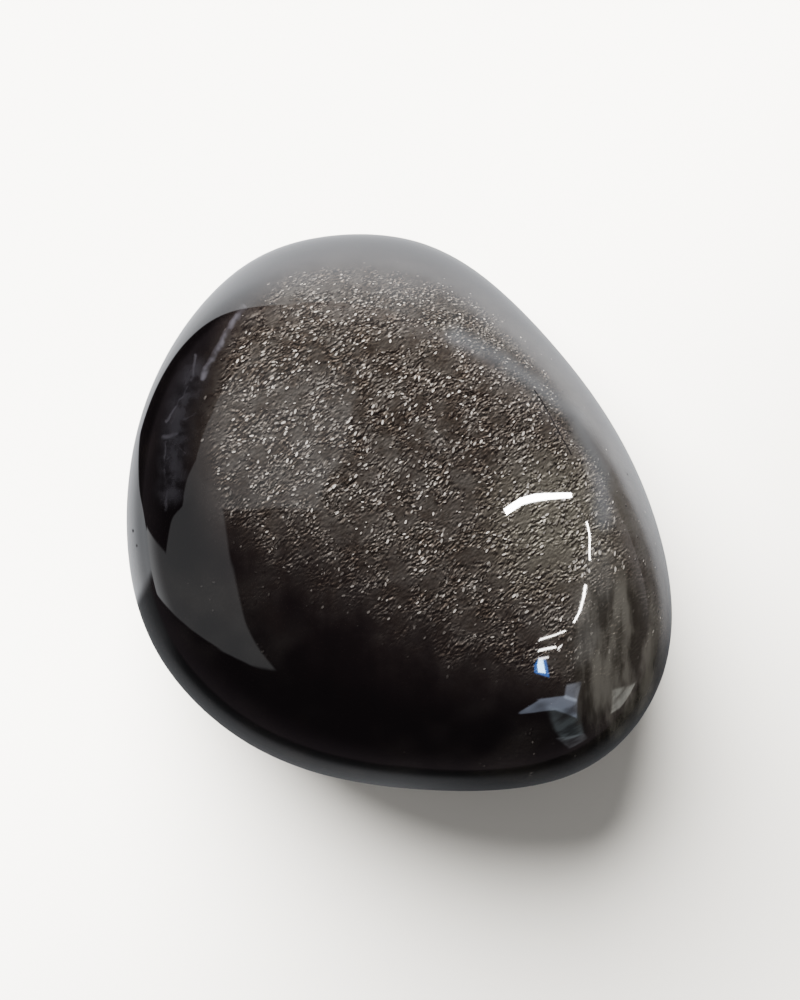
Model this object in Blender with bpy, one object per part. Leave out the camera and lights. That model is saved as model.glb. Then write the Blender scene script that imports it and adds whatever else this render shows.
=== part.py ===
"""A tumble-polished stone of sheen obsidian, about 34 mm long, lying on its underside.

The stone is one solid. Its form is a block whose faces have been worn into one another: each worn face is given
by the way it looks and by how far it lies from the middle, and a soft maximum of all of them gives the surface.
Metres, +Z up. The long diameter runs along +X and the foot rests on z = 0, under the middle of the stone's box.
"""

import math

import bmesh
import bpy
from mathutils import Vector

MM = 0.001

# Driving dimensions in millimetres and degrees.
# A worn face is (bearing, slope, reach). Bearing 0 looks along +X and 90 along +Y. Slope 0 looks level, 90 straight
# up and -90 straight down. Reach is the distance from the stone's middle to the face.
# The crown is the broad domed face on top, with a wide sloping shoulder towards +Y and a tight turn elsewhere.
CROWN_FACES = (
    (20, 79, 10.1),
    (145, 75, 10.4),
    (262, 76, 10.3),
    (8, 42, 19.6),
    (72, 40, 13.5),
    (106, 37, 12.2),
    (144, 35, 14.1),
    (190, 44, 18.6),
    (232, 44, 17.9),
    (282, 44, 17.6),
    (328, 44, 19.0),
)
# The girdle gives the rounded triangle seen from above, with a narrow corner at +X and a straighter side at +Y.
GIRDLE_FACES = (
    (4, 2, 18.6),
    (28, 0, 17.3),
    (62, 2, 13.7),
    (88, 4, 12.9),
    (126, 10, 16.7),
    (163, 6, 20.0),
    (201, -2, 16.3),
    (234, 0, 15.9),
    (276, 0, 15.7),
    (313, 2, 14.8),
    (338, 0, 18.7),
)
# The belly is rounder than the crown, and its two flattest faces meet over the foot, under the stone's weight.
BELLY_FACES = (
    (0, -82, 10.0),
    (182, -76, 10.5),
    (15, -44, 17.2),
    (85, -42, 13.8),
    (150, -44, 16.4),
    (215, -42, 16.0),
    (280, -42, 16.0),
    (325, -44, 16.8),
)
WEAR = 9.0  # how sharply one face turns into the next: higher keeps the edges, lower rounds them
FOOT_DEPTH = 9.5  # from the middle down to the small flat that the stone rests on
GRID = 20  # squares along each side of the cube that the surface is laid out on
SHORTEST_EDGE = 0.4  # edges beside the foot that come out shorter than this are closed up

GLASS_COLOUR = (0.02, 0.018, 0.017, 1.0)
GLASS_ROUGHNESS = 0.06


def clear_scene():
    for obj in list(bpy.data.objects):
        bpy.data.objects.remove(obj, do_unlink=True)


def looking(bearing, slope):
    """The unit vector that a face with this bearing and slope looks along."""
    across = math.cos(math.radians(slope))
    turn = math.radians(bearing)
    return Vector((across * math.cos(turn), across * math.sin(turn), math.sin(math.radians(slope))))


def worn_faces():
    rows = CROWN_FACES + GIRDLE_FACES + BELLY_FACES
    return [(looking(bearing, slope), reach) for bearing, slope, reach in rows]


def reach_along(direction, faces):
    """How far the worn surface lies from the middle in this direction, in millimetres."""
    total = sum(max(0.0, normal.dot(direction) / reach) ** WEAR for normal, reach in faces)
    return total ** (-1.0 / WEAR)


def glass_material():
    material = bpy.data.materials.new("obsidian")
    material.use_nodes = True
    shader = material.node_tree.nodes["Principled BSDF"]
    shader.inputs["Base Color"].default_value = GLASS_COLOUR
    shader.inputs["Roughness"].default_value = GLASS_ROUGHNESS
    shader.inputs["Metallic"].default_value = 0.0
    return material


def gridded_ball(bm):
    """A cube of even squares, drawn out to a ball so that the squares stay much the same size."""
    bmesh.ops.create_cube(bm, size=2.0)
    bmesh.ops.subdivide_edges(bm, edges=bm.edges[:], cuts=GRID - 1, use_grid_fill=True)
    for vert in bm.verts:
        evened = Vector([math.tan(side * math.pi / 4) for side in vert.co])
        vert.co = evened.normalized()


def weld_slivers(bm, rim):
    """Pulls the corners that the cut left too close to its rim onto the rim, which stays where it is."""
    kept = []
    welds = {}
    for corner in rim:
        if corner in welds:
            continue
        kept.append(corner)
        for edge in corner.link_edges:
            other = edge.other_vert(corner)
            if edge.calc_length() < SHORTEST_EDGE * MM and other not in kept and other not in welds:
                welds[other] = corner
    bmesh.ops.weld_verts(bm, targetmap=welds)


def cut_foot(bm):
    """Takes the underside off level at the foot's depth and closes it with one flat face."""
    everything = bm.verts[:] + bm.edges[:] + bm.faces[:]
    level = Vector((0, 0, -FOOT_DEPTH * MM))
    bmesh.ops.bisect_plane(bm, geom=everything, plane_co=level, plane_no=(0, 0, -1), clear_outer=True)
    weld_slivers(bm, [vert for vert in bm.verts if vert.is_boundary])
    rim = [edge for edge in bm.edges if edge.is_boundary]
    for edge in rim:
        edge.smooth = False
    bmesh.ops.contextual_create(bm, geom=rim)


def centre_on_foot(bm):
    """Moves the stone so that its foot is at z = 0 and the middle of its box stands over the origin."""
    for axis in (0, 1):
        ends = [vert.co[axis] for vert in bm.verts]
        middle = (min(ends) + max(ends)) / 2
        for vert in bm.verts:
            vert.co[axis] -= middle
    for vert in bm.verts:
        vert.co.z += FOOT_DEPTH * MM


def make_stone():
    bm = bmesh.new()
    gridded_ball(bm)
    faces = worn_faces()
    for vert in bm.verts:
        vert.co = vert.co * reach_along(vert.co, faces) * MM
    cut_foot(bm)
    centre_on_foot(bm)
    bmesh.ops.recalc_face_normals(bm, faces=bm.faces[:])
    mesh = bpy.data.meshes.new("obsidian_stone")
    bm.to_mesh(mesh)
    bm.free()
    mesh.shade_smooth()
    stone = bpy.data.objects.new("obsidian_stone", mesh)
    stone.data.materials.append(glass_material())
    bpy.context.scene.collection.objects.link(stone)
    return stone


clear_scene()
make_stone()
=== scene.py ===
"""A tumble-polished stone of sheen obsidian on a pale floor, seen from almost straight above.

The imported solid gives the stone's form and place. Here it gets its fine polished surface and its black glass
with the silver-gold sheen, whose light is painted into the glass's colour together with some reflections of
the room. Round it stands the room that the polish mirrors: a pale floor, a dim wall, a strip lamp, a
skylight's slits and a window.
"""

import math

import bpy
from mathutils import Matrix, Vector


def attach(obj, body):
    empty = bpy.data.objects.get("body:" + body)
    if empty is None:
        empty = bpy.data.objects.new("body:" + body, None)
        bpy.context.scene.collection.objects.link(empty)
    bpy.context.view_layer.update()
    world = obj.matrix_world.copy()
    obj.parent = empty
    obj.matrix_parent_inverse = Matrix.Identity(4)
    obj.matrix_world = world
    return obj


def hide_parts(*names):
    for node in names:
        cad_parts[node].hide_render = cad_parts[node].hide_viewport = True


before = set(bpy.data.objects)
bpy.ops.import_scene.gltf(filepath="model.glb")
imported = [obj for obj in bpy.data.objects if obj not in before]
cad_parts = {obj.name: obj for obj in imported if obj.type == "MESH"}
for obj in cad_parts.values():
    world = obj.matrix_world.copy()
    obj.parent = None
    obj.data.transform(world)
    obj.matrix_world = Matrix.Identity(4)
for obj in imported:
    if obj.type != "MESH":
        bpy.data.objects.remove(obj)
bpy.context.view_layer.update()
MM = 0.001

# The camera looks down at the stone. A bearing is an angle on the floor, counted from +X towards +Y.
VIEW_AZIMUTH = 48
VIEW_ELEVATION = 86
VIEW_DISTANCE = 200 * MM
FRAME_HEIGHT = 55 * MM  # what the picture's height takes in at the stone
SENSOR = 36.0
STONE_MIDDLE = Vector((0, 0, 9.5 * MM))
AIM_RIGHT = 0.52 * MM  # the camera aims this far right of the stone's middle, so that it stands left and low
AIM_UP = 2.02 * MM

# The bearings that point to the right and up in the picture.
PICTURE_RIGHT = VIEW_AZIMUTH
PICTURE_UP = VIEW_AZIMUTH + 90


def level(bearing):
    """The level unit vector with this bearing in degrees."""
    turn = math.radians(bearing)
    return Vector((math.cos(turn), math.sin(turn), 0))


def sky(bearing, rise):
    """The unit vector that points to this bearing and this far above the floor's horizon, both in degrees."""
    tilt = math.radians(rise)
    return level(bearing) * math.cos(tilt) + Vector((0, 0, math.sin(tilt)))


# Working with one object at a time.


def only(piece):
    """Selects this piece alone and makes it the one that operators work on."""
    bpy.ops.object.select_all(action="DESELECT")
    piece.select_set(True)
    bpy.context.view_layer.objects.active = piece


def pick_faces(piece, wanted):
    """Selects the faces for which wanted(face) is true, and no others."""
    for face in piece.data.polygons:
        face.select = wanted(face)
    for edge in piece.data.edges:
        edge.select = False
    for vert in piece.data.vertices:
        vert.select = False
    for face in piece.data.polygons:
        if face.select:
            for index in face.vertices:
                piece.data.vertices[index].select = True


# The stone's polished surface.

WELD = 0.02 * MM  # corners closer than this are one corner
PAIRING = math.radians(40)  # two triangles that turn less than this at their shared edge become one square
FOOT_HEIGHT = 0.05 * MM  # what lies lower than this belongs to the foot
FOOT_DOWN = -0.99  # a face of the foot looks down at least this straight
FOOT_RINGS = (0.5 * MM, 0.7 * MM)
FINENESS = 2
SMOOTHING = 0.5
SMOOTHING_ROUNDS = 12
SLOW_WAVES = 5.5 * MM  # how broad the waves of the tumbled surface are
WAVE_DEPTH = 0.04 * MM


def add_modifier(piece, kind, **settings):
    """Adds a modifier with these settings and applies it at once."""
    modifier = piece.modifiers.new(kind.lower(), kind)
    for name, value in settings.items():
        setattr(modifier, name, value)
    bpy.ops.object.modifier_apply(modifier=modifier.name)


def in_foot(face):
    """Whether this face belongs to the flat that the stone rests on."""
    return face.normal.z < FOOT_DOWN and face.center.z < FOOT_HEIGHT


def even_foot(stone):
    """Makes the foot one face with two rings inside its rim, so that the rounding there stays even."""
    pick_faces(stone, in_foot)
    bpy.ops.object.mode_set(mode="EDIT")
    bpy.ops.mesh.select_mode(type="FACE")
    bpy.ops.mesh.dissolve_faces()
    for width in FOOT_RINGS:
        bpy.ops.mesh.inset(thickness=width)
    bpy.ops.object.mode_set(mode="OBJECT")


def level_foot(stone):
    """Presses the foot, which the rounding let sag a little, flat onto the floor again."""
    for vert in stone.data.vertices:
        vert.select = vert.co.z < FOOT_HEIGHT
    for part in (stone.data.edges, stone.data.polygons):
        for item in part:
            item.select = False
    bpy.ops.object.mode_set(mode="EDIT")
    bpy.ops.mesh.select_mode(type="VERT")
    bpy.ops.transform.resize(value=(1, 1, 0), center_override=(0, 0, 0))
    bpy.ops.object.mode_set(mode="OBJECT")


def polished_stone():
    """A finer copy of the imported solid, with its facets rounded and slow waves in its worn faces."""
    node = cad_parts["obsidian_stone"]
    stone = bpy.data.objects.new("polished_obsidian", node.data.copy())
    bpy.context.scene.collection.objects.link(stone)
    only(stone)
    bpy.ops.object.mode_set(mode="EDIT")
    bpy.ops.mesh.select_all(action="SELECT")
    bpy.ops.mesh.remove_doubles(threshold=WELD)
    bpy.ops.mesh.normals_make_consistent(inside=False)
    bpy.ops.mesh.tris_convert_to_quads(face_threshold=PAIRING, shape_threshold=PAIRING)
    bpy.ops.mesh.select_all(action="DESELECT")
    bpy.ops.object.mode_set(mode="OBJECT")
    even_foot(stone)
    add_modifier(stone, "SUBSURF", levels=FINENESS, render_levels=FINENESS)
    add_modifier(stone, "SMOOTH", factor=SMOOTHING, iterations=SMOOTHING_ROUNDS)
    waves = bpy.data.textures.new("slow_waves", "CLOUDS")
    waves.noise_scale = SLOW_WAVES
    waves.noise_depth = 1
    # With its middle at the top of the range, the waves only ever go inwards.
    add_modifier(stone, "DISPLACE", texture=waves, texture_coords="LOCAL", mid_level=1.0,
                 strength=WAVE_DEPTH)
    level_foot(stone)
    bpy.ops.object.shade_smooth()
    return stone


# Small words for building materials.


def feed(tree, socket, value):
    """Links a socket to an output, or sets it to a number, a vector or a colour."""
    if isinstance(value, bpy.types.NodeSocket):
        tree.links.new(value, socket)
    else:
        socket.default_value = value


def calc(tree, operation, *values, clamp=False):
    """One step of arithmetic on numbers."""
    step = tree.nodes.new("ShaderNodeMath")
    step.operation = operation
    step.use_clamp = clamp
    for socket, value in zip(step.inputs, values):
        feed(tree, socket, value)
    return step.outputs[0]


def vector_calc(tree, operation, *values):
    """One step of arithmetic on places, directions or colours."""
    step = tree.nodes.new("ShaderNodeVectorMath")
    step.operation = operation
    for socket, value in zip(step.inputs, values):
        feed(tree, socket, value)
    return step.outputs["Value" if operation in ("DOT_PRODUCT", "DISTANCE", "LENGTH") else "Vector"]


def scaled(tree, place, factor):
    """The place or colour, this many times as large."""
    step = tree.nodes.new("ShaderNodeVectorMath")
    step.operation = "SCALE"
    feed(tree, step.inputs["Vector"], place)
    feed(tree, step.inputs["Scale"], factor)
    return step.outputs["Vector"]


def fade(tree, value, low, high, start=0.0, end=1.0):
    """A soft step: start where the value is at low, end where it is at high."""
    step = tree.nodes.new("ShaderNodeMapRange")
    step.interpolation_type = "SMOOTHSTEP"
    feed(tree, step.inputs["Value"], value)
    for name, number in (("From Min", low), ("From Max", high), ("To Min", start), ("To Max", end)):
        feed(tree, step.inputs[name], number)
    return step.outputs["Result"]


def noise(tree, place, size, detail=2.0, roughness=0.5):
    """Cloudy noise around 0.5 whose patches are about this many millimetres across."""
    step = tree.nodes.new("ShaderNodeTexNoise")
    feed(tree, step.inputs["Vector"], place)
    step.inputs["Scale"].default_value = 1.0 / size
    step.inputs["Detail"].default_value = detail
    step.inputs["Roughness"].default_value = roughness
    return step.outputs["Fac"]


def blend(tree, share, first, second):
    """Goes from the first colour to the second as the share goes from 0 to 1."""
    step = tree.nodes.new("ShaderNodeMix")
    step.data_type = "RGBA"
    # This node's colours go in at 6 and 7 and come out at 2. The sockets between are for other kinds.
    feed(tree, step.inputs[0], share)
    feed(tree, step.inputs[6], first)
    feed(tree, step.inputs[7], second)
    return step.outputs[2]


def larger(tree, values):
    """The largest of these values."""
    found = values[0]
    for value in values[1:]:
        found = calc(tree, "MAXIMUM", found, value)
    return found


def smaller(tree, values):
    """The smallest of these values."""
    found = values[0]
    for value in values[1:]:
        found = calc(tree, "MINIMUM", found, value)
    return found


def product(tree, values):
    """These values multiplied together."""
    found = values[0]
    for value in values[1:]:
        found = calc(tree, "MULTIPLY", found, value)
    return found


def stretched(tree, place, sizes):
    """The place counted in these sizes, so that a pattern laid on it is drawn out to them."""
    return vector_calc(tree, "DIVIDE", place, sizes)


def far_off(tree, place, offset):
    """The same place moved far off, for noise that has nothing to do with the other noises."""
    return vector_calc(tree, "ADD", place, offset)


def group_with(name, inputs, outputs):
    """A new node group, its start and its end. Its inputs are (name, kind) and its outputs numbers."""
    group = bpy.data.node_groups.new(name, "ShaderNodeTree")
    for label, kind in inputs:
        group.interface.new_socket(label, in_out="INPUT", socket_type=kind)
    for label in outputs:
        group.interface.new_socket(label, in_out="OUTPUT", socket_type="NodeSocketFloat")
    return group, group.nodes.new("NodeGroupInput"), group.nodes.new("NodeGroupOutput")


def use_group(tree, group, **values):
    """Places the group in a material with these values, and gives its outputs."""
    step = tree.nodes.new("ShaderNodeGroup")
    step.node_tree = group
    for name, value in values.items():
        feed(tree, step.inputs[name], value)
    return step.outputs


# The sheen's flecks: a group that lays one small leaning grain in each cell of a fine, uneven pattern.
# Each grain is a painted glint, with painted shade beside it.

FLECK_HALF_LENGTH = 0.60  # in cells
FLECK_HALF_WIDTH = 0.245
FLECK_SHADE_SHIFT = (0.08, -0.20, 0.0)  # in cells too: how far a fleck's painted shade lies to its lower right
FLECK_JITTER = (1.2, 1.2, 0.7)  # how far the flecks lean out of their common direction
SMALLEST_FLECK = 0.65  # as a share of the full size
FLECK_SIZES = 0.5  # how much larger than the smallest a fleck can be
DIMMEST_FLECK = 0.12  # as a share of the brightest
FLECK_CONTRAST = 2.2  # the higher this is, the fewer flecks are bright
GLINT_EDGE = (1.0, 0.62)  # from a fleck's edge inwards, where its painted glint starts and where it is full
FLECK_SHADE_EDGE = (1.75, 0.9)


def fleck_spread(group, away, axis, size):
    """How far out in its fleck this spot is, with 1 on the edge. away is the way from the fleck's middle."""
    along = vector_calc(group, "DOT_PRODUCT", away, axis)
    along = calc(group, "MULTIPLY", along, along)
    beside = calc(group, "SUBTRACT", vector_calc(group, "DOT_PRODUCT", away, away), along)
    beside = calc(group, "MULTIPLY", calc(group, "MAXIMUM", beside, 0.0), FLECK_HALF_WIDTH ** -2)
    reach = calc(group, "SQRT", calc(group, "MULTIPLY_ADD", along, FLECK_HALF_LENGTH ** -2, beside))
    return calc(group, "DIVIDE", reach, size)


def fleck_group():
    """Bright is a fleck's painted glint, Painted_Shade the painted shade beside it, Share how many cells hold
    one.
    """
    inputs = [("Place", "NodeSocketVector")]
    inputs += [(name, "NodeSocketFloat") for name in ("Lean", "Cell", "Share")]
    group, start, end = group_with("sheen_flecks", inputs, ("Bright", "Painted_Shade"))
    place = scaled(group, start.outputs["Place"], calc(group, "DIVIDE", 1.0, start.outputs["Cell"]))
    cells = group.nodes.new("ShaderNodeTexVoronoi")
    feed(group, cells.inputs["Vector"], place)
    cells.inputs["Scale"].default_value = 1.0
    away = vector_calc(group, "SUBTRACT", place, cells.outputs["Position"])
    chance = group.nodes.new("ShaderNodeSeparateColor")
    feed(group, chance.inputs[0], cells.outputs["Color"])

    lean = group.nodes.new("ShaderNodeCombineXYZ")
    feed(group, lean.inputs[0], calc(group, "COSINE", start.outputs["Lean"]))
    feed(group, lean.inputs[1], calc(group, "SINE", start.outputs["Lean"]))
    jitter = vector_calc(group, "SUBTRACT", cells.outputs["Color"], (0.5, 0.5, 0.5))
    jitter = vector_calc(group, "MULTIPLY", jitter, FLECK_JITTER)
    axis = vector_calc(group, "NORMALIZE", vector_calc(group, "ADD", lean.outputs[0], jitter))
    size = calc(group, "MULTIPLY_ADD", chance.outputs[1], FLECK_SIZES, SMALLEST_FLECK)

    held = fade(group, calc(group, "SUBTRACT", chance.outputs[2], start.outputs["Share"]), 0.03, -0.03)
    # Two of the cell's chance numbers are stirred into another one.
    stirred = calc(group, "MULTIPLY", chance.outputs[1], 11.3)
    stirred = calc(group, "MULTIPLY_ADD", chance.outputs[0], 5.7, stirred)
    strength = calc(group, "POWER", calc(group, "FRACT", stirred), FLECK_CONTRAST)
    strength = calc(group, "MULTIPLY_ADD", strength, 1 - DIMMEST_FLECK, DIMMEST_FLECK)
    glint = fade(group, fleck_spread(group, away, axis, size), *GLINT_EDGE)
    feed(group, end.inputs["Bright"], product(group, (glint, held, strength)))
    shifted = vector_calc(group, "SUBTRACT", away, FLECK_SHADE_SHIFT)
    fleck_shade = fade(group, fleck_spread(group, shifted, axis, size), *FLECK_SHADE_EDGE)
    feed(group, end.inputs["Painted_Shade"], calc(group, "MULTIPLY", fleck_shade, held))
    return group


def thread_group():
    """How far this spot is, seen from above, from the straight line between Start and End."""
    inputs = [(name, "NodeSocketVector") for name in ("Place", "Start", "End")]
    group, start, end = group_with("distance_to_thread", inputs, ("Distance",))
    flat = vector_calc(group, "MULTIPLY", start.outputs["Place"], (1, 1, 0))
    run = vector_calc(group, "SUBTRACT", start.outputs["End"], start.outputs["Start"])
    away = vector_calc(group, "SUBTRACT", flat, start.outputs["Start"])
    share = calc(group, "DIVIDE", vector_calc(group, "DOT_PRODUCT", away, run),
                 vector_calc(group, "DOT_PRODUCT", run, run), clamp=True)
    nearest = scaled(group, run, share)
    feed(group, end.inputs["Distance"], vector_calc(group, "DISTANCE", away, nearest))
    return group


def thread(tree, group, place, points, half_width, softness=0.75):
    """A soft line through these points, given in millimetres to the right and up the picture."""
    stretches = []
    for start, end in zip(points, points[1:]):
        found = use_group(tree, group, Place=place, Start=(*start, 0), End=(*end, 0))
        stretches.append(found["Distance"])
    return fade(tree, smaller(tree, stretches), half_width, half_width * (1 - softness))


# The obsidian. Places on it are given as (right, up, height): millimetres to the right and up the picture,
# as seen from straight above, and millimetres above the floor. A way is an angle from the picture's right.

# The glass's own colour is black. The sheen's light, the flecks' glints and the shade beside them, and some
# reflections of the room are painted into it.
BLACK_GLASS = (0.0012, 0.0009, 0.0010, 1.0)
PAINTED_SHEEN_FRINGE = (0.0085, 0.0056, 0.0056, 1.0)
PAINTED_SHEEN_DARK = (0.0325, 0.0262, 0.0212, 1.0)
PAINTED_SHEEN_LIGHT = (0.0620, 0.0560, 0.0500, 1.0)
PAINTED_SHEEN_GOLD = (0.0960, 0.0890, 0.0740, 1.0)
PAINTED_FLECK_SHADE = (0.0085, 0.0056, 0.0038, 1.0)
PAINTED_GLINT = (0.56, 0.52, 0.475, 1.0)
REFLECTED_THREAD_BLUE = (0.095, 0.092, 0.105, 1.0)
REFLECTED_STREAK_BLUE = (0.105, 0.110, 0.118, 1.0)
REFLECTED_CLOUD_PALE = (0.096, 0.091, 0.079, 1.0)
REFLECTED_CLOUD_DARK = (0.0230, 0.0205, 0.0160, 1.0)

# Painted reflections of the room show as pale threads in the black glass at the left: (half width, brightness,
# points).
REFLECTED_THREADS = (
    (0.26, 0.75, ((-7.9, 12.0), (-8.5, 11.0), (-9.1, 9.8), (-9.6, 8.9), (-10.0, 8.0))),
    (0.15, 0.34, ((-10.4, 9.3), (-10.5, 8.1), (-11.0, 7.1), (-11.5, 6.4), (-11.9, 5.7))),
    (0.13, 0.22, ((-10.6, 7.5), (-11.2, 6.6), (-11.6, 5.6))),
    (0.26, 0.34, ((-12.0, 4.9), (-11.3, 5.0))),
    (0.15, 0.24, ((-11.0, 5.7), (-10.3, 6.1))),
    (0.13, 0.24, ((-11.9, 4.6), (-12.0, 3.3))),
    (0.13, 0.22, ((-11.6, 4.1), (-12.0, 3.3), (-11.9, 2.2))),
    (0.14, 0.24, ((-11.4, 3.5), (-11.8, 2.3), (-11.9, 1.0))),
    (0.12, 0.24, ((-11.4, 4.5), (-10.9, 4.0))),
    (1.20, 0.20, ((-10.4, 8.4), (-11.2, 6.2), (-11.4, 4.0), (-11.6, 2.0))),
)
# A painted reflection of the room: a pale streak inside the upper right rim.
REFLECTED_STREAK = ((3.5, 10.4), (5.9, 9.1), (8.3, 7.4), (9.9, 6.1), (11.2, 3.1), (11.3, 0.4))
HAIRLINE = ((7.7, 7.4), (8.1, 6.8), (8.9, 5.2), (9.6, 3.9))
GOLD_SPOT = (8.7, 0.4, 17.8)
# Painted reflections of the room low on the right, in cloudy upright bands.
REFLECTED_CLOUDS_MIDDLE = (11.9, -6.6, 15.9)
REFLECTED_CLOUDS_REACH = (3.0, 5.2, 5.0)
REFLECTED_CLOUD_BANDS = (0.75, 3.0, 3.0)
PITS = ((-13.8, 0.0, 14.8), (-13.5, -0.8, 15.0))
PIT_EDGE = (0.13, 0.06)
STRAY_PITS_APART = 3.6
STRAY_PIT_EDGE = (0.022, 0.012)

# Where the painted sheen starts and where it is full, as seen along a way or by height.
SLANT_WAY = 62
FLECKS_FROM = (-6.6, -0.6)
HAZE_FROM = (-7.0, 0.6)
GLOW_FROM = (-10.5, -2.5)
LOW_RIGHT_WAY = -53
LOW_RIGHT_END = (15.0, 13.4)
STREAK_WAY = 30
STREAK_END = (10.0, 11.8)
RIGHT_END = (10.5, 13.0)
# At the top and the left the sheen ends on an oval round this middle.
OVAL_MIDDLE = (0.5, 4.0)
OVAL_REACH = (10.7, 13.3)
FLECKS_IN_OVAL = (1.04, 0.76)
HAZE_IN_OVAL = (1.10, 0.82)
GLOW_IN_OVAL = (1.12, 0.90)
FLECKS_ABOVE = (11.5, 15.5)
HAZE_ABOVE = (8.5, 16.0)
GLOW_ABOVE = (6, 15)
# The flecks' cells, the fine grain between them and its direction, and the side its painted shade falls on.
FINE_CELL = 0.25
COARSE_CELL = 0.285
LEAN_AT_LEFT = math.radians(34)
LEAN_AT_RIGHT = math.radians(76)
GRAIN_SIZE = (0.25, 0.14, 0.25)
GRAIN_TURN = math.radians(36)
GRAIN_BEND = (1.6, 1.2, 0.0)
SHADE_SIDE = (0.10, 0.48, 0.1)

SHEEN_ROUGHNESS = 0.45
POLISH_ROUGHNESS = 0.02
GLASS_IOR = 1.5


def sheen_edges(tree, place, ragged):
    """How full the painted sheen is here: its flecks, its haze and the dim glow beyond, each wider than the
    last.
    """
    axes = tree.nodes.new("ShaderNodeSeparateXYZ")
    feed(tree, axes.inputs[0], place)
    right, up, height = axes.outputs
    slant = calc(tree, "ADD", vector_calc(tree, "DOT_PRODUCT", place, level(SLANT_WAY)), ragged)
    low_right = vector_calc(tree, "DOT_PRODUCT", place, level(LOW_RIGHT_WAY))
    corner = fade(tree, calc(tree, "SUBTRACT", low_right, ragged), *LOW_RIGHT_END)
    left = calc(tree, "DIVIDE", calc(tree, "SUBTRACT", OVAL_MIDDLE[0], right), OVAL_REACH[0])
    left = calc(tree, "MAXIMUM", left, 0.0)
    rise = calc(tree, "DIVIDE", calc(tree, "SUBTRACT", up, OVAL_MIDDLE[1]), OVAL_REACH[1])
    out = calc(tree, "ADD", calc(tree, "MULTIPLY", left, left), calc(tree, "MULTIPLY", rise, rise))
    out = calc(tree, "MULTIPLY_ADD", ragged, 0.02, calc(tree, "SQRT", out))
    streak_side = vector_calc(tree, "DOT_PRODUCT", place, level(STREAK_WAY))
    streak_side = calc(tree, "ADD", streak_side, calc(tree, "MULTIPLY", ragged, 0.3))
    flecks = product(tree, (
        fade(tree, slant, *FLECKS_FROM),
        fade(tree, right, *RIGHT_END, 1.0, 0.2),
        fade(tree, streak_side, *STREAK_END, 1.0, 0.04),
        fade(tree, out, *FLECKS_IN_OVAL),
        corner,
        fade(tree, height, *FLECKS_ABOVE),
    ))
    haze = product(tree, (
        fade(tree, slant, *HAZE_FROM),
        fade(tree, out, *HAZE_IN_OVAL),
        corner,
        fade(tree, height, *HAZE_ABOVE),
    ))
    glow = product(tree, (
        fade(tree, slant, *GLOW_FROM),
        fade(tree, out, *GLOW_IN_OVAL),
        fade(tree, height, *GLOW_ABOVE),
    ))
    return flecks, haze, glow


def fleck_lean(tree, place):
    """The flecks lean up to the right, more steeply towards the right end, and never all quite alike."""
    steeper = vector_calc(tree, "DOT_PRODUCT", place, level(-14))
    steeper = fade(tree, steeper, 7.0, 13.0, LEAN_AT_LEFT, LEAN_AT_RIGHT)
    swirl = noise(tree, far_off(tree, place, (0, 0, 90)), 1.7, detail=2.0)
    return calc(tree, "ADD", steeper, calc(tree, "MULTIPLY_ADD", swirl, 2.4, -1.2))


def grain_light_and_shade(tree, place, lean):
    """The fine grain between the flecks, lit from one side: above 0 where it is lit, below 0 in its shade."""
    turn = tree.nodes.new("ShaderNodeVectorRotate")
    turn.rotation_type = "Z_AXIS"
    feed(tree, turn.inputs["Vector"], place)
    turn.inputs["Angle"].default_value = -GRAIN_TURN
    grain = stretched(tree, turn.outputs["Vector"], GRAIN_SIZE)
    bent = vector_calc(tree, "ADD", grain, scaled(tree, GRAIN_BEND, lean))
    lit = noise(tree, bent, 1.0, detail=1.5)
    shaded = noise(tree, vector_calc(tree, "ADD", bent, SHADE_SIDE), 1.0, detail=1.5)
    return calc(tree, "SUBTRACT", lit, shaded)


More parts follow.
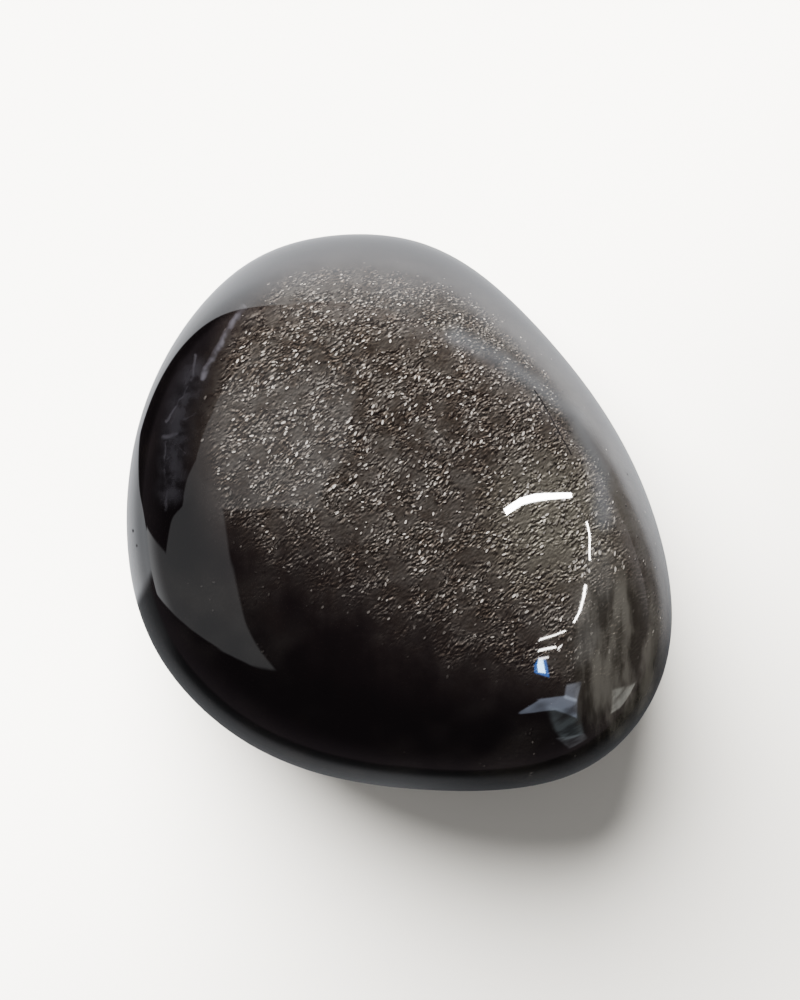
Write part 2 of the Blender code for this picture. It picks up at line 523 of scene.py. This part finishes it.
def sheen_colour(tree, place, flecks):
    """The painted sheen by itself: a brown-grey haze, full of small silvery flecks with glints and painted
    shade.
    """
    clusters = noise(tree, place, 1.15, detail=3.0, roughness=0.62)
    crowd = fade(tree, clusters, 0.39, 0.56)
    broad = noise(tree, far_off(tree, place, (40, 0, 0)), 4.2, detail=1.0)
    share = fade(tree, broad, 0.35, 0.65, 0.02, 0.22)
    share = calc(tree, "ADD", calc(tree, "MULTIPLY", crowd, 0.80), share)
    share = calc(tree, "MULTIPLY", share, flecks)
    group = fleck_group()
    lean = fleck_lean(tree, place)
    fine = use_group(tree, group, Place=place, Lean=lean, Cell=FINE_CELL, Share=share)
    elsewhere = far_off(tree, place, (11, 7, 3))
    coarse = use_group(tree, group, Place=elsewhere, Lean=lean, Cell=COARSE_CELL, Share=share)
    bright = calc(tree, "MAXIMUM", fine["Bright"], coarse["Bright"])
    fleck_shade = calc(tree, "MAXIMUM", fine["Painted_Shade"], coarse["Painted_Shade"])

    mottle = noise(tree, far_off(tree, place, (0, 70, 0)), 1.5, detail=5.0, roughness=0.7)
    light = calc(tree, "MULTIPLY", fade(tree, mottle, 0.34, 0.66), fade(tree, broad, 0.3, 0.7, 0.7, 1.0))
    gold = fade(tree, vector_calc(tree, "DISTANCE", place, GOLD_SPOT), 5.5, 0.5, 0.0, 0.9)
    haze = blend(tree, gold, blend(tree, light, PAINTED_SHEEN_DARK, PAINTED_SHEEN_LIGHT), PAINTED_SHEEN_GOLD)
    # The haze is painted lighter and darker by the grain's light and shade, as if lit from one side.
    painted_light_depth = calc(tree, "MULTIPLY_ADD", crowd, 9.0, 2.5)
    painted_light_depth = calc(tree, "MULTIPLY", painted_light_depth, fade(tree, flecks, 0.0, 0.5))
    painted_light_steps = calc(tree, "MULTIPLY", grain_light_and_shade(tree, place, lean), painted_light_depth)
    haze = scaled(tree, haze, calc(tree, "POWER", 2.0, painted_light_steps))
    # The painted shade beside each fleck.
    haze = blend(tree, calc(tree, "MULTIPLY", fleck_shade, 0.70), haze, PAINTED_FLECK_SHADE)
    # The flecks' painted glints.
    return blend(tree, bright, haze, PAINTED_GLINT)


def with_reflected_clouds(tree, place, colour):
    """Painted reflections of the room, in cloudy upright bands, hide the flecks low on the right."""
    away = stretched(tree, vector_calc(tree, "SUBTRACT", place, REFLECTED_CLOUDS_MIDDLE), REFLECTED_CLOUDS_REACH)
    area = fade(tree, vector_calc(tree, "LENGTH", away), 1.1, 0.6, 0.0, 0.85)
    bands = noise(tree, stretched(tree, place, REFLECTED_CLOUD_BANDS), 1.0, detail=4.0)
    cloud = blend(tree, fade(tree, bands, 0.36, 0.64), REFLECTED_CLOUD_DARK, REFLECTED_CLOUD_PALE)
    return blend(tree, area, colour, cloud)


def threaded(tree, place, colour):
    """Painted reflections of the room, as threads at the left and a pale streak inside the upper right rim,
    and the hairline across it.
    """
    group = thread_group()
    wander = calc(tree, "SUBTRACT", noise(tree, place, 0.6, detail=2.0), 0.5)
    place = vector_calc(tree, "ADD", place, scaled(tree, (0.25, -0.2, 0), wander))
    # The painted reflection of the pale streak.
    streak = thread(tree, group, place, REFLECTED_STREAK, 0.9, softness=1.0)
    colour = blend(tree, calc(tree, "MULTIPLY", streak, 0.55), colour, REFLECTED_STREAK_BLUE)
    hairline = thread(tree, group, place, HAIRLINE, 0.06)
    colour = blend(tree, calc(tree, "MULTIPLY", hairline, 0.85), colour, BLACK_GLASS)
    # Painted reflections of the room, drawn as threads at the left.
    thread_reflections = []
    for half_width, brightness, points in REFLECTED_THREADS:
        found = thread(tree, group, place, points, half_width, softness=1.0)
        thread_reflections.append(calc(tree, "MULTIPLY", found, brightness))
    worn = fade(tree, noise(tree, far_off(tree, place, (0, 30, 0)), 0.9, detail=3.0), 0.36, 0.60, 0.25, 1.0)
    return blend(tree, calc(tree, "MULTIPLY", larger(tree, thread_reflections), worn), colour, REFLECTED_THREAD_BLUE)


def pitted(tree, place):
    """Where a few tiny pits break the polish."""
    spots = [fade(tree, vector_calc(tree, "DISTANCE", place, pit), *PIT_EDGE) for pit in PITS]
    cells = tree.nodes.new("ShaderNodeTexVoronoi")
    feed(tree, cells.inputs["Vector"], stretched(tree, place, (STRAY_PITS_APART,) * 3))
    cells.inputs["Scale"].default_value = 1.0
    spots.append(fade(tree, cells.outputs["Distance"], *STRAY_PIT_EDGE))
    return larger(tree, spots)


def obsidian_material():
    """Black glass with the sheen's light and some reflections of the room painted into its colour, under a
    clear polish.
    """
    material = bpy.data.materials.new("sheen_obsidian_polished")
    material.use_nodes = True
    tree = material.node_tree
    shader = tree.nodes["Principled BSDF"]
    coordinates = tree.nodes.new("ShaderNodeTexCoord")
    turn = tree.nodes.new("ShaderNodeVectorRotate")
    turn.rotation_type = "Z_AXIS"
    turn.inputs["Angle"].default_value = -math.radians(PICTURE_RIGHT)
    feed(tree, turn.inputs["Vector"], scaled(tree, coordinates.outputs["Object"], 1 / MM))
    place = turn.outputs["Vector"]

    patches = noise(tree, place, 2.2, detail=5.0, roughness=0.65)
    patches = calc(tree, "MULTIPLY_ADD", patches, 4.4, -2.2)
    columns = noise(tree, stretched(tree, place, (1.5, 8.0, 4.0)), 1.0)
    columns = calc(tree, "MULTIPLY_ADD", columns, 3.6, -1.8)
    ragged = calc(tree, "ADD", patches, columns)
    flecks, haze, glow = sheen_edges(tree, place, ragged)
    # A little painted sheen is strewn over the rest of the stone too.
    strays = noise(tree, far_off(tree, place, (0, 0, 40)), 5.0, detail=2.0)
    flecks = calc(tree, "MAXIMUM", flecks, fade(tree, strays, 0.56, 0.74, 0.0, 0.16))
    colour = blend(tree, glow, BLACK_GLASS, PAINTED_SHEEN_FRINGE)
    haze = calc(tree, "MAXIMUM", haze, fade(tree, strays, 0.50, 0.80, 0.0, 0.22))
    colour = blend(tree, haze, colour, sheen_colour(tree, place, flecks))
    colour = threaded(tree, place, with_reflected_clouds(tree, place, colour))
    pits = pitted(tree, place)
    feed(tree, shader.inputs["Base Color"], blend(tree, pits, colour, BLACK_GLASS))
    shader.inputs["Roughness"].default_value = SHEEN_ROUGHNESS
    shader.inputs["Specular IOR Level"].default_value = 0.0
    feed(tree, shader.inputs["Coat Weight"], calc(tree, "SUBTRACT", 1.0, pits))
    shader.inputs["Coat Roughness"].default_value = POLISH_ROUGHNESS
    shader.inputs["Coat IOR"].default_value = GLASS_IOR
    return material


# The room. The camera sees a pale floor, its colour painted darker towards the picture's lower right. For the
# polish the floor is a painted glow: pale towards the top of the picture, painted shade towards its bottom and
# a painted dark corner at the left. Lamps, a window and a wall stand round it.

FLOOR_SIZE = 6.0
FLOOR_COLOUR = (0.90, 0.87, 0.805)
FLOOR_ROUGHNESS = 0.9
BACKDROP = (4.0, 3.92, 3.75, 1.0)
FLOOR_MIRRORED = (0.97, 0.99, 1.03)
ROOM_FILL = (0.5, 0.5, 0.51, 1.0)
ROOM_DARK = (0.19, 0.16, 0.175)
HORIZON_GLOW = 1.8  # how much brighter the dark room is at the floor than overhead
# The painted dark corner in the floor's glow for mirror rays.
PAINTED_DARK_CORNER = (-0.0215, -0.0115, 0)
PAINTED_DARK_CORNER_EDGES = (237, 143)
LEFT_END = 240.5  # the bearing at which the pale floor ends at the left
PALE_SIDE = 98  # the bearing at which the room over the floor's far edge is palest
ROOM_PALE = (0.74, 0.75, 0.76)
DIM_SIDE = -2  # the bearing towards which the floor's colour is painted darker, as painted shade
FALL_OFF = (-12 * MM, 34 * MM)


def mirrored_floor(tree, place):
    """The floor as the polish finds it, a painted glow: painted shade under the stone, palest 30 mm out,
    dimmer far off.
    """
    away = vector_calc(tree, "LENGTH", place)
    out = vector_calc(tree, "NORMALIZE", place)
    # Painted shade next to the stone: the glow is dimmest close to it.
    near = fade(tree, away, 5 * MM, 34 * MM, 0.15, 2.0)
    right = fade(tree, vector_calc(tree, "DOT_PRODUCT", out, level(120)), -0.12, 0.78)
    left = fade(tree, vector_calc(tree, "DOT_PRODUCT", out, level(190)), 0.30, 0.60)
    left_end = fade(tree, vector_calc(tree, "DOT_PRODUCT", out, level(LEFT_END - 90)), -0.03, 0.03)
    left = calc(tree, "MULTIPLY", left, left_end)
    sides = calc(tree, "MAXIMUM", right, left)
    far_left = fade(tree, vector_calc(tree, "DOT_PRODUCT", out, level(205)), 0.55, 0.80)
    far = fade(tree, away, 30 * MM, 130 * MM, 1.0, calc(tree, "MULTIPLY_ADD", far_left, 0.60, 0.72))
    not_right = fade(tree, vector_calc(tree, "DOT_PRODUCT", out, level(190)), 0.29, 0.50, 0.42, 1.0)
    far = calc(tree, "MULTIPLY", far, fade(tree, away, 26 * MM, 50 * MM, 1.0, not_right))
    shade = fade(tree, vector_calc(tree, "DOT_PRODUCT", out, level(0)), 0.70, 0.95, 0.22, 0.10)
    lit = calc(tree, "ADD", sides, calc(tree, "MULTIPLY", shade, calc(tree, "SUBTRACT", 1.0, sides)))
    pale = scaled(tree, FLOOR_MIRRORED, product(tree, (near, far, lit)))
    dim = scaled(tree, ROOM_DARK, fade(tree, away, 25 * MM, 160 * MM, 0.4, HORIZON_GLOW))
    dim_side = calc(tree, "MULTIPLY", fade(tree, away, 40 * MM, 160 * MM), calc(tree, "SUBTRACT", 1.0, sides))
    # The painted dark corner at the left.
    from_corner = vector_calc(tree, "SUBTRACT", place, PAINTED_DARK_CORNER)
    painted_corner = [fade(tree, vector_calc(tree, "DOT_PRODUCT", from_corner, level(edge)), 0, 1.2 * MM)
             for edge in PAINTED_DARK_CORNER_EDGES]
    return blend(tree, larger(tree, (product(tree, painted_corner), dim_side)), pale, dim)


def pale_floor():
    """The plain floor, with its own shader for mirror rays."""
    bpy.ops.object.select_all(action="DESELECT")
    bpy.ops.mesh.primitive_plane_add(size=FLOOR_SIZE, location=(0, 0, 0))
    floor = bpy.context.object
    floor.name = "floor"
    material = bpy.data.materials.new("pale_floor")
    material.use_nodes = True
    tree = material.node_tree
    shader = tree.nodes["Principled BSDF"]
    shader.inputs["Roughness"].default_value = FLOOR_ROUGHNESS
    shader.inputs["Specular IOR Level"].default_value = 0.0
    coordinates = tree.nodes.new("ShaderNodeTexCoord")
    place = coordinates.outputs["Object"]
    # Painted shade: the floor's colour darkens towards the picture's lower right.
    lit = fade(tree, vector_calc(tree, "DOT_PRODUCT", place, level(DIM_SIDE)), *FALL_OFF, 1.0, 0.50)
    feed(tree, shader.inputs["Base Color"], scaled(tree, FLOOR_COLOUR, lit))
    glow = tree.nodes.new("ShaderNodeEmission")
    feed(tree, glow.inputs["Color"], mirrored_floor(tree, place))
    path = tree.nodes.new("ShaderNodeLightPath")
    choice = tree.nodes.new("ShaderNodeMixShader")
    feed(tree, choice.inputs[0], path.outputs["Is Glossy Ray"])
    feed(tree, choice.inputs[1], shader.outputs[0])
    feed(tree, choice.inputs[2], glow.outputs[0])
    feed(tree, tree.nodes["Material Output"].inputs["Surface"], choice.outputs[0])
    floor.data.materials.append(material)
    return floor


# What the polish mirrors above the floor. A ribbon is (radiance, softness, one side, other side), and its
# sides are lists of (bearing, rise) as seen from the stone.
ROOM_LAMPS = (
    # The strip lamp.
    ((200, 200, 196), 0.002, ((58.65, 73.54), (65.0, 68.17), (68.75, 58.23), (71.09, 44.15)),
     ((63.55, 73.76), (69.1, 68.03), (71.05, 57.87), (72.61, 42.35))),
    # The skylight's slits.
    ((130, 125, 120), 0.002, ((65.07, 44.12), (58.65, 47.49), (51.52, 51.42)),
     ((65.33, 42.98), (58.85, 46.31), (51.98, 50.58))),
    ((130, 125, 120), 0.002, ((42.9, 57.02), (37.82, 59.48), (31.63, 61.43)),
     ((43.2, 56.48), (38.28, 59.02), (31.67, 61.17))),
    ((85, 82, 78), 0.002, ((20.14, 66.8), (23.6, 64.8), (27.4, 62.7)),
     ((20.46, 66.8), (23.7, 64.9), (27.5, 62.8))),
    ((85, 82, 78), 0.002, ((17.83, 66.1), (21.0, 63.53)),
     ((18.07, 66.1), (21.21, 63.67))),
    ((50, 48, 46), 0.002, ((20.89, 62.96), (22.1, 62.57)),
     ((21.41, 63.04), (22.5, 62.53))),
    ((40, 39, 38), 0.002, ((16.58, 65.43), (18.05, 64.16)),
     ((16.52, 65.27), (17.95, 64.05))),
    # The window, with a blue rim of sky.
    ((0.9, 3.0, 9.5), 0.004, ((16.5, 65.4), (14.5, 65.4), (12.5, 64.7)),
     ((17.1, 64.4), (15.8, 63.3), (13.7, 61.8))),
    ((26, 40, 52), 0.002, ((16.3, 65.3), (15.0, 65.0), (13.3, 64.2)),
     ((16.8, 64.8), (15.7, 64.0), (14.2, 63.0))),
)
# Dimmer and less even: bluish panes low on the right, a paler one past them and a glow beside the slits.
ROOM_PANES = (
    ((2.2, 2.5, 3.1), 0.012, ((356.2, 57.7), (4.1, 58.0), (9.5, 52.4), (9.9, 46.4)),
     ((355.8, 57.2), (0.9, 52.9), (2.9, 50.1), (3.6, 36.1))),
    ((1.9, 2.1, 2.5), 0.015, ((9.3, 52.1), (9.8, 46.4)), ((13.7, 54.9), (16.0, 51.5))),
    ((0.75, 0.9, 0.95), 0.03, ((1.8, 50.0), (3.5, 35.6), (358.1, 13.3)),
     ((356.6, 39.0), (354.5, 27.0), (353.7, 19.2))),
    ((0.7, 0.75, 0.8), 0.02, ((352.7, 24.6), (351.1, -2.1)), ((358.4, 12.2), (356.3, -17.6))),
    ((2.0, 2.05, 1.9), 0.03, ((17.5, 24.7), (23.3, -1.1)), ((10.8, 7.0), (16.6, -5.8))),
    ((0.75, 0.75, 0.74), 0.07, ((79.5, 5.9), (73.2, 13.5), (56.0, 40.0), (40.3, 51.9), (25.8, 54.1)),
     ((79.5, 10.0), (71.2, 32.2), (51.3, 51.5), (37.5, 57.7), (24.4, 57.3))),
)
# The wall at the left. Its inner edge is first, then its outer and lower edge.
WALL = (
    ((232.4, 62.1), (244.8, 60.0), (250.9, 58.9), (257.7, 56.5), (263.8, 54.3), (265.8, 53.4)),
    ((231.8, 45.1), (240.4, 26.7), (241.1, -9.4), (252.6, 24.3), (261.7, 41.4), (265.2, 48.0)),
)
WALL_FOOT = (((232.2, -1.0), (240.3, 26.6)), ((241.1, -9.4), (241.0, 24.0)))
# The wall goes on above the painted dark corner, where the sheen shows through its reflection.
WALL_ABOVE = (
    ((231.8, 45.1), (218.0, 53.7), (189.4, 53.6), (154.2, 32.2), (145.2, 4.4)),
    ((232.4, 64.0), (222.7, 76.0), (160.1, 72.0), (138.0, 40.0), (136.0, 4.4)),
)
WALL_LIGHT = (0.97, 1.0, 1.01)
WALL_SOFTNESS = 0.012
WALL_PALEST = (225, 52)


def patch(tree, direction, corners, softness):
    """1 inside the patch of the room with these corners, 0 outside, and a soft edge just outside it."""
    ways = [sky(*corner) for corner in corners]
    middle = sum(ways, Vector((0, 0, 0)))
    sides = []
    for first, second in zip(ways, ways[1:] + ways[:1]):
        inwards = first.cross(second).normalized()
        if inwards.dot(middle) < 0:
            inwards = -inwards
        sides.append(fade(tree, vector_calc(tree, "DOT_PRODUCT", direction, inwards), -softness, 0.0))
    return product(tree, sides)


def ribbon(tree, direction, softness, one_side, other_side):
    """A bent strip of the room between two sides with as many corners each."""
    patches = []
    corners = list(zip(one_side, other_side))
    for (first, second), (fourth, third) in zip(corners, corners[1:]):
        patches.append(patch(tree, direction, (first, second, third, fourth), softness))
    return larger(tree, patches)


def added_light(tree, share, colour, light):
    """The light, with this share of the colour added to it."""
    extra = scaled(tree, tuple(colour), share)
    return vector_calc(tree, "ADD", light, extra)


def room_mirrored(tree):
    """What the polish mirrors of the room, by direction."""
    coordinates = tree.nodes.new("ShaderNodeTexCoord")
    direction = coordinates.outputs["Generated"]
    rise = vector_calc(tree, "DOT_PRODUCT", direction, (0, 0, 1))
    light = added_light(tree, fade(tree, rise, 0.6, 0.0, 1.0, HORIZON_GLOW), ROOM_DARK, (0, 0, 0))
    pale_side = fade(tree, vector_calc(tree, "DOT_PRODUCT", direction, level(PALE_SIDE)), 0.50, 0.80)
    pale_side = calc(tree, "MULTIPLY", pale_side, fade(tree, rise, 0.45, 0.0))
    light = added_light(tree, pale_side, ROOM_PALE, light)
    wall = [ribbon(tree, direction, WALL_SOFTNESS, *part) for part in (WALL, WALL_FOOT)]
    wall = calc(tree, "MULTIPLY", larger(tree, wall), fade(tree, rise, 0.0, 0.36, 2.7, 0.95))
    above = vector_calc(tree, "DOT_PRODUCT", direction, sky(*WALL_PALEST))
    above = fade(tree, above, 0.55, 0.98, 0.25, 0.95)
    above = calc(tree, "MULTIPLY", ribbon(tree, direction, WALL_SOFTNESS, *WALL_ABOVE), above)
    light = added_light(tree, larger(tree, (wall, above)), WALL_LIGHT, light)
    uneven = fade(tree, noise(tree, direction, 0.16, detail=2.0), 0.34, 0.62, 0.35, 1.3)
    for radiance, softness, one_side, other_side in ROOM_PANES:
        pane = ribbon(tree, direction, softness, one_side, other_side)
        light = added_light(tree, calc(tree, "MULTIPLY", pane, uneven), radiance, light)
    for radiance, softness, one_side, other_side in ROOM_LAMPS:
        light = added_light(tree, ribbon(tree, direction, softness, one_side, other_side), radiance, light)
    return light


def room():
    """The room fills the shade evenly, is pale behind the floor, and shows its lamps to the polish."""
    world = bpy.data.worlds.new("studio")
    bpy.context.scene.world = world
    world.use_nodes = True
    tree = world.node_tree
    plain = tree.nodes["Background"]
    mirrored = tree.nodes.new("ShaderNodeBackground")
    feed(tree, mirrored.inputs["Color"], room_mirrored(tree))
    path = tree.nodes.new("ShaderNodeLightPath")
    feed(tree, plain.inputs["Color"], blend(tree, path.outputs["Is Camera Ray"], ROOM_FILL, BACKDROP))
    choice = tree.nodes.new("ShaderNodeMixShader")
    feed(tree, choice.inputs[0], path.outputs["Is Glossy Ray"])
    feed(tree, choice.inputs[1], plain.outputs[0])
    feed(tree, choice.inputs[2], mirrored.outputs[0])
    feed(tree, tree.nodes["World Output"].inputs["Surface"], choice.outputs[0])


KEY_BEARING = PICTURE_UP + 26
KEY_RISE = 46
KEY_SPREAD = 55
KEY_STRENGTH = 5.2
FLOOR_KEY_STRENGTH = 16.5


def soft_key(name, strength):
    """Soft daylight from the picture's upper left. The polish doesn't mirror it."""
    light = bpy.data.lights.new(name, "SUN")
    light.energy = strength
    light.angle = math.radians(KEY_SPREAD)
    lamp = bpy.data.objects.new(name, light)
    lamp.rotation_euler = sky(KEY_BEARING, KEY_RISE).to_track_quat("Z", "Y").to_euler()
    lamp.visible_glossy = False
    bpy.context.scene.collection.objects.link(lamp)
    return lamp


def lights(floor):
    """One key lights the stone and the floor. A second lights the floor alone, which has to be near white."""
    soft_key("soft_key", KEY_STRENGTH)
    floor_key = soft_key("floor_key", FLOOR_KEY_STRENGTH)
    floor_only = bpy.data.collections.new("floor_only")
    floor_only.objects.link(floor)
    floor_key.light_linking.receiver_collection = floor_only


def camera():
    """Looks almost straight down at the stone, with the picture's up and right as named above."""
    data = bpy.data.cameras.new("camera")
    data.lens = SENSOR * VIEW_DISTANCE / FRAME_HEIGHT
    data.sensor_width = SENSOR
    data.clip_start = 1 * MM
    made = bpy.data.objects.new("camera", data)
    toward = sky(VIEW_AZIMUTH - 90, VIEW_ELEVATION)
    right = level(PICTURE_RIGHT)
    up = toward.cross(right)
    made.location = STONE_MIDDLE + right * AIM_RIGHT + up * AIM_UP + toward * VIEW_DISTANCE
    made.rotation_euler = toward.to_track_quat("Z", "Y").to_euler()
    bpy.context.scene.collection.objects.link(made)
    bpy.context.scene.camera = made


camera()
room()
lights(pale_floor())
stone = polished_stone()
stone.data.materials.clear()
stone.data.materials.append(obsidian_material())
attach(stone, "root")
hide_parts("obsidian_stone")
bpy.context.scene.view_settings.view_transform = "AgX"
bpy.context.scene.view_settings.look = "AgX - Medium High Contrast"
